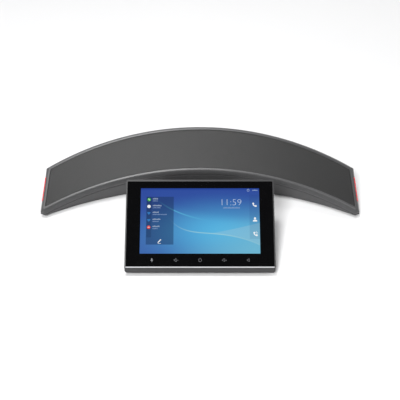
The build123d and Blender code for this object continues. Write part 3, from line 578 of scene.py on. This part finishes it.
# ---------------------------------------------------------------- materials of the CAD pieces
makers = {
    "shell": shell_plastic,
    "carrier": carrier_plastic,
    "status_lens": status_lens,
    "circuit_board": circuit_board,
    "soft_seal": soft_seal,
    "pressed_steel": pressed_steel,
    "paper_cone": paper_cone,
    "magnet_steel": magnet_steel,
    "connector_plastic": connector_plastic,
    "button_plastic": button_plastic,
    "screw_steel": screw_steel,
    "foot_rubber": rubber,
    "hinge_steel": hinge_steel,
    "cover_glass": cover_glass,
    "panel_glass": panel_glass,
    "panel_tray": panel_tray,
    "display_shell": display_plastic,
    "bright_trim": bright_trim,
    "speaker_cloth": speaker_cloth,
}
finishes = {slot: make() for slot, make in makers.items()}
slot_of = {part["node"]: part["material_slot"] for part in frame["record"]["subparts"]}
for name, node in frame["nodes"].items():
    for material_slot in node.material_slots:
        material_slot.material = finishes[slot_of[name]].material


# ---------------------------------------------------------------- cloth over the speaker
def top_face(x, s, height):
    """A point on the arc's sloping top: x across, s up the slope, height above the face."""
    return Vector(
        (x, RIM_Y + s * cos(SLOPE) - height * sin(SLOPE), RIM_Z + s * sin(SLOPE) + height * cos(SLOPE))
    )


def crowded(share):
    """A 0 to 1 share, moved so that equal steps crowd towards both ends, where the cloth bends."""
    return 0.5 - 0.5 * cos(pi * share)


def arc_depth(radius, x):
    """How far an arc of that radius has curved forward at x from its middle."""
    return radius - sqrt(radius**2 - x**2)


def cloth_sheet():
    """The cloth: stretched over the carrier, and turned down round its edge beside the rim."""
    front_radius, rear_radius = FRONT_RADIUS + CLOTH_INSET, REAR_RADIUS - CLOTH_INSET
    half_front, half_rear = HALF_FRONT - CLOTH_INSET, HALF_REAR - CLOTH_INSET
    columns, rows = 140, 36
    built = bmesh.new()
    flat = built.loops.layers.uv.new("flat")
    grid, spot = [], {}
    for i in range(columns + 1):
        share = 2 * crowded(i / columns) - 1
        x_front, x_rear = share * half_front, share * half_rear
        front = Vector((x_front, CLOTH_INSET - arc_depth(front_radius, x_front)))
        rear = Vector((x_rear, BAND - CLOTH_INSET - arc_depth(rear_radius, x_rear)))
        length = (rear - front).length
        column = []
        for j in range(rows + 1):
            ease = crowded(j / rows)
            point = front.lerp(rear, ease)
            edge = min(ease * length, (1 - ease) * length, (1 - abs(share)) * half_front)
            bend = max(0.0, 1 - edge / CLOTH_TURN)
            height = CLOTH_CROWN * sqrt(1 - bend**2) - CLOTH_DROP
            vert = built.verts.new(top_face(point.x, point.y, height))
            spot[vert] = (share * half_front, (ease - 0.5) * length)
            column.append(vert)
        grid.append(column)
    for left, right in zip(grid, grid[1:]):
        for j in range(rows):
            face = built.faces.new((left[j], right[j], right[j + 1], left[j + 1]))
            face.smooth = True
            for loop in face.loops:
                loop[flat].uv = spot[loop.vert]
    mesh = bpy.data.meshes.new("speaker_cloth_sheet")
    built.to_mesh(mesh)
    built.free()
    sheet = add_piece("speaker_cloth_sheet", mesh, finishes["speaker_cloth"], "base")
    thicken = sheet.modifiers.new("thickness", "SOLIDIFY")
    thicken.thickness = CLOTH_THICK
    thicken.offset = -1.0
    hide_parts("grille_cloth")


cloth_sheet()

# ---------------------------------------------------------------- what the screen shows
FACE = 0.12 * MM  # the picture's height above the glass
GAP = 0.02 * MM  # between one layer and the next
LAYER = FACE + PRINT + GAP  # icons lie on the picture
MARK_LAYER = LAYER + PRINT + GAP  # and marks on the icons
ICON_U = -65.9 * MM
ROWS_V = [27.7 * MM, 18.6 * MM, 9.8 * MM, 0.6 * MM, -8.7 * MM]
DOCK_U = 70 * MM
DOT = 2.2 * MM
DOCK_ICON = 6.2 * MM


def shown(name, outlines, light, low=LAYER):
    """Plates that belong to what the screen shows."""
    plates(name, outlines, light, low)


def call_waves(u, v):
    """Two short arcs beside a handset."""
    return [arc_stroke(u, v, radius, 0.5 * MM, 5, 75, 8) for radius in (1.5 * MM, 2.8 * MM)]


shown("screen_picture", [rounded(0, 0, PICTURE_W, PICTURE_H, 0.2 * MM)], picture_light(), FACE)
shown("icon_green", [disc(ICON_U, ROWS_V[0], DOT)], lit("icon_green", srgb(60, 180, 50)))
shown("icon_red", [disc(ICON_U, ROWS_V[4], DOT)], lit("icon_red", srgb(232, 76, 66)))
hearts = [heart(ICON_U, v, 4.4 * MM) for v in ROWS_V[2:4]]
shown("icon_hearts", hearts, lit("icon_blue", srgb(52, 122, 190)))
white_shapes = [disc(ICON_U, ROWS_V[1], DOT)]
white_shapes += handset(DOCK_U, 20.3 * MM, DOCK_ICON)
white_shapes += person(DOCK_U + 0.8 * MM, 1.6 * MM, 5.6 * MM)
white_shapes += handset(DOCK_U + 0.6 * MM, -18 * MM, DOCK_ICON)
white_shapes += call_waves(DOCK_U + 0.8 * MM, -17.0 * MM)
white_shapes += pencil(-52 * MM, -26.8 * MM, 4.6 * MM)
shown("icons_white", white_shapes, lit("icon_white", srgb(244, 246, 248)))
icon_marks = handset(ICON_U, ROWS_V[0], 2.6 * MM)
icon_marks.append(line_stroke((ICON_U - 1.2 * MM, ROWS_V[4]), (ICON_U + 1.2 * MM, ROWS_V[4]), 0.7 * MM))
shown("icon_marks", icon_marks, lit("icon_mark", srgb(250, 250, 250)), MARK_LAYER)


def scribble(u, v, length, height):
    """A line that stands for small writing: a row of blocks of uneven height, no letters."""
    pitch, width = 1.15 * MM, 0.7 * MM
    blocks = []
    for step in range(int(length / pitch)):
        tall = height * (0.72 + 0.28 * sin(2.4 * step) ** 2)
        blocks.append(rounded(u + (step + 0.5) * pitch, v - (height - tall) / 2, width, tall, 0.12 * MM, 2))
    return blocks


def lines(u, places, lengths, height):
    """Several lines of small writing, one at each height."""
    return [block for v, length in zip(places, lengths) for block in scribble(u, v, length, height)]


TEXT_U = -61.2 * MM
NAME_LENGTHS = [8 * MM, 11.5 * MM, 9 * MM, 10.5 * MM, 10 * MM]
NOTE_LENGTHS = [7 * MM, 10.5 * MM, 19.5 * MM, 8.5 * MM, 7 * MM]
names = lines(TEXT_U, [v + 1.2 * MM for v in ROWS_V], NAME_LENGTHS, 1.9 * MM)
notes = lines(TEXT_U, [v - 1.7 * MM for v in ROWS_V], NOTE_LENGTHS, 1.2 * MM)
notes += scribble(29.8 * MM, 16.9 * MM, 22 * MM, 1.9 * MM)
shown("list_names", names, lit("text_bright", srgb(168, 184, 208)))
shown("list_notes", notes, lit("text_soft", srgb(140, 164, 204)))
STATUS_V = 40.2 * MM
status = ring(62.6 * MM, STATUS_V, 1.4 * MM, 0.45 * MM) + scribble(67.8 * MM, STATUS_V, 7 * MM, 1.4 * MM)
shown("status_marks", status, lit("text_status", srgb(170, 190, 222)))


DIGIT_HEIGHT = 0.69  # of a digit, by the size of its font
DIGIT_THINNING = 0.036  # taken off all round a stroke, by the digit's height


def clock(text, u, v, width, height):
    """The clock's digits, as thin solid shapes."""
    curve = bpy.data.curves.new("clock_curve", "FONT")
    curve.body = text
    curve.size = height / DIGIT_HEIGHT
    curve.offset = -DIGIT_THINNING * height
    curve.extrude = PRINT / 2
    writing = bpy.data.objects.new("clock_curve", curve)
    scene.collection.objects.link(writing)
    bpy.context.view_layer.update()
    mesh = bpy.data.meshes.new_from_object(writing.evaluated_get(bpy.context.evaluated_depsgraph_get()))
    bpy.data.objects.remove(writing)
    xs = [vert.co.x for vert in mesh.vertices]
    ys = [vert.co.y for vert in mesh.vertices]
    left, right, low, high = min(xs), max(xs), min(ys), max(ys)
    for vert in mesh.vertices:
        across = ((vert.co.x - left) / (right - left) - 0.5) * width
        rise = ((vert.co.y - low) / (high - low) - 0.5) * height
        vert.co = on_screen(u + across, v + rise, LAYER + PRINT / 2 + vert.co.z)
    mesh.name = "clock_digits"
    mesh.materials.clear()
    add_piece("clock_digits", mesh, lit("clock_light", srgb(200, 216, 240)), "display")


clock("11:59", 40.8 * MM, 24.2 * MM, 25.2 * MM, 7.8 * MM)

# ---------------------------------------------------------------- touch keys, printed on the glass
KEY_V = -51.1 * MM
KEY_PITCH = 30.6 * MM
KEY_SIZE = 5.4 * MM
STROKE = 0.36 * MM
INK = 0.03 * MM  # thickness of the printed marks, and their height above the glass


def key_shape(u, size, corners):
    """An outlined mark whose corners are given as shares of its size."""
    return outline_strokes([(u + size * a, KEY_V + size * b) for a, b in corners], STROKE)


def loudspeaker(u, size):
    """A volume key's mark: a small horn, drawn as a triangle."""
    return key_shape(u, size, [(-0.5, 0.0), (0.1, -0.36), (0.1, 0.36)])


def microphone(u, size):
    """The mute key's mark: a capsule in its holder."""
    shapes = [rounded(u, KEY_V + size * 0.14, size * 0.3, size * 0.62, size * 0.14)]
    shapes.append(arc_stroke(u, KEY_V + size * 0.08, size * 0.3, STROKE, 190, 350))
    shapes.append(line_stroke((u, KEY_V - size * 0.22), (u, KEY_V - size * 0.5), STROKE))
    return shapes


def volume_sign(u, size, plus):
    """The - or + beside a volume key's horn."""
    middle, half = u + size * 0.44, size * 0.16
    strokes = [line_stroke((middle - half, KEY_V), (middle + half, KEY_V), STROKE)]
    if plus:
        for side in (-1, 1):
            ends = ((middle, KEY_V + side * STROKE / 2), (middle, KEY_V + side * half))
            strokes.append(line_stroke(ends[0], ends[1], STROKE))
    return strokes


marks = ring(0, KEY_V, 1.9 * MM, STROKE) + microphone(-2 * KEY_PITCH, 5.2 * MM)
for side in (-1, 1):
    marks += loudspeaker(side * KEY_PITCH, KEY_SIZE) + volume_sign(side * KEY_PITCH, KEY_SIZE, side == 1)
marks += key_shape(2 * KEY_PITCH, MM, [(-1.9, 0), (1.4, -2), (1.4, 2)])
plates("touch_key_marks", marks, key_print(), INK, thick=INK)


# ---------------------------------------------------------------- floor, light and camera
def floor_material():
    """Pale paper sweep, almost even."""
    shader = Shader("studio_floor").set(Roughness=0.9)
    shader.join(shader.mix(shader.noise(0.6, 2), srgb(223, 223, 224), srgb(228, 228, 228)), "Base Color")
    return shader.material


def studio():
    """A round floor that curves up into a wall, so that every view has a pale ground."""
    built = bmesh.new()
    radius, bend, wall = 3.2, 1.2, 4.0
    around, bend_steps = 96, 12
    profile = [(radius, 0.0)]
    for step in range(1, bend_steps + 1):
        angle = pi / 2 * step / bend_steps
        profile.append((radius + bend * sin(angle), bend * (1 - cos(angle))))
    profile.append((radius + bend, wall))
    rings = [[built.verts.new((0, 0, 0))] * around]
    for r, z in profile:
        rings.append([built.verts.new((*polar(0, 0, r, 2 * pi * i / around), z)) for i in range(around)])
    for low, high in zip(rings, rings[1:]):
        for i in range(around):
            j = (i + 1) % around
            # The middle ring is one point, so its faces are triangles.
            corners = dict.fromkeys([low[i], high[i], high[j], low[j]])
            face = built.faces.new(list(corners))
            face.smooth = True
    mesh = bpy.data.meshes.new("studio")
    built.to_mesh(mesh)
    built.free()
    sweep = bpy.data.objects.new("studio", mesh)
    scene.collection.objects.link(sweep)
    mesh.materials.append(floor_material())


def softbox(name, place, aim, size, power):
    """A rectangular area light at place, facing aim."""
    light = bpy.data.lights.new(name, "AREA")
    light.shape = "RECTANGLE"
    light.size, light.size_y = size
    light.energy = power
    lamp = bpy.data.objects.new(name, light)
    lamp.location = place
    lamp.rotation_euler = (Vector(aim) - Vector(place)).to_track_quat("-Z", "Y").to_euler()
    scene.collection.objects.link(lamp)


def camera():
    """The view from the front, well above the table."""
    data = bpy.data.cameras.new("camera")
    data.lens = CAMERA_LENS
    data.sensor_width = CAMERA_SENSOR
    data.clip_start, data.clip_end = 0.05, 60
    eye = bpy.data.objects.new("camera", data)
    back = Vector((0, -cos(CAMERA_ELEVATION), sin(CAMERA_ELEVATION)))
    eye.location = CAMERA_TARGET + back * CAMERA_DISTANCE
    eye.rotation_euler = (-back).to_track_quat("-Z", "Y").to_euler()
    scene.collection.objects.link(eye)
    scene.camera = eye


studio()
softbox("top_light", (-0.28, 0.12, 2.0), (0, 0.05, 0), (0.4, 0.5), 22)
softbox("front_light", (-0.62, -1.3, 1.92), (0, 0, 0), (0.7, 0.35), 33)
softbox("low_light", (-0.8, -1.8, 1.85), (0, 0, 0), (0.7, 0.4), 22)
softbox("left_light", (-2.2, 0.3, 1.6), (0, 0, 0), (1.2, 1.0), 2)
softbox("right_light", (2.0, -0.2, 1.7), (0, 0, 0), (1.2, 1.0), 8)
softbox("rear_light", (0.9, 1.5, 2.1), (0.1, 0.3, 0), (1.6, 0.8), 15)
world = bpy.data.worlds.new("studio_air")
world.use_nodes = True
air = world.node_tree.nodes["Background"]
air.inputs["Color"].default_value = (1, 1, 1, 1)
air.inputs["Strength"].default_value = 0.04
scene.world = world
scene.view_settings.view_transform = "Standard"
camera()
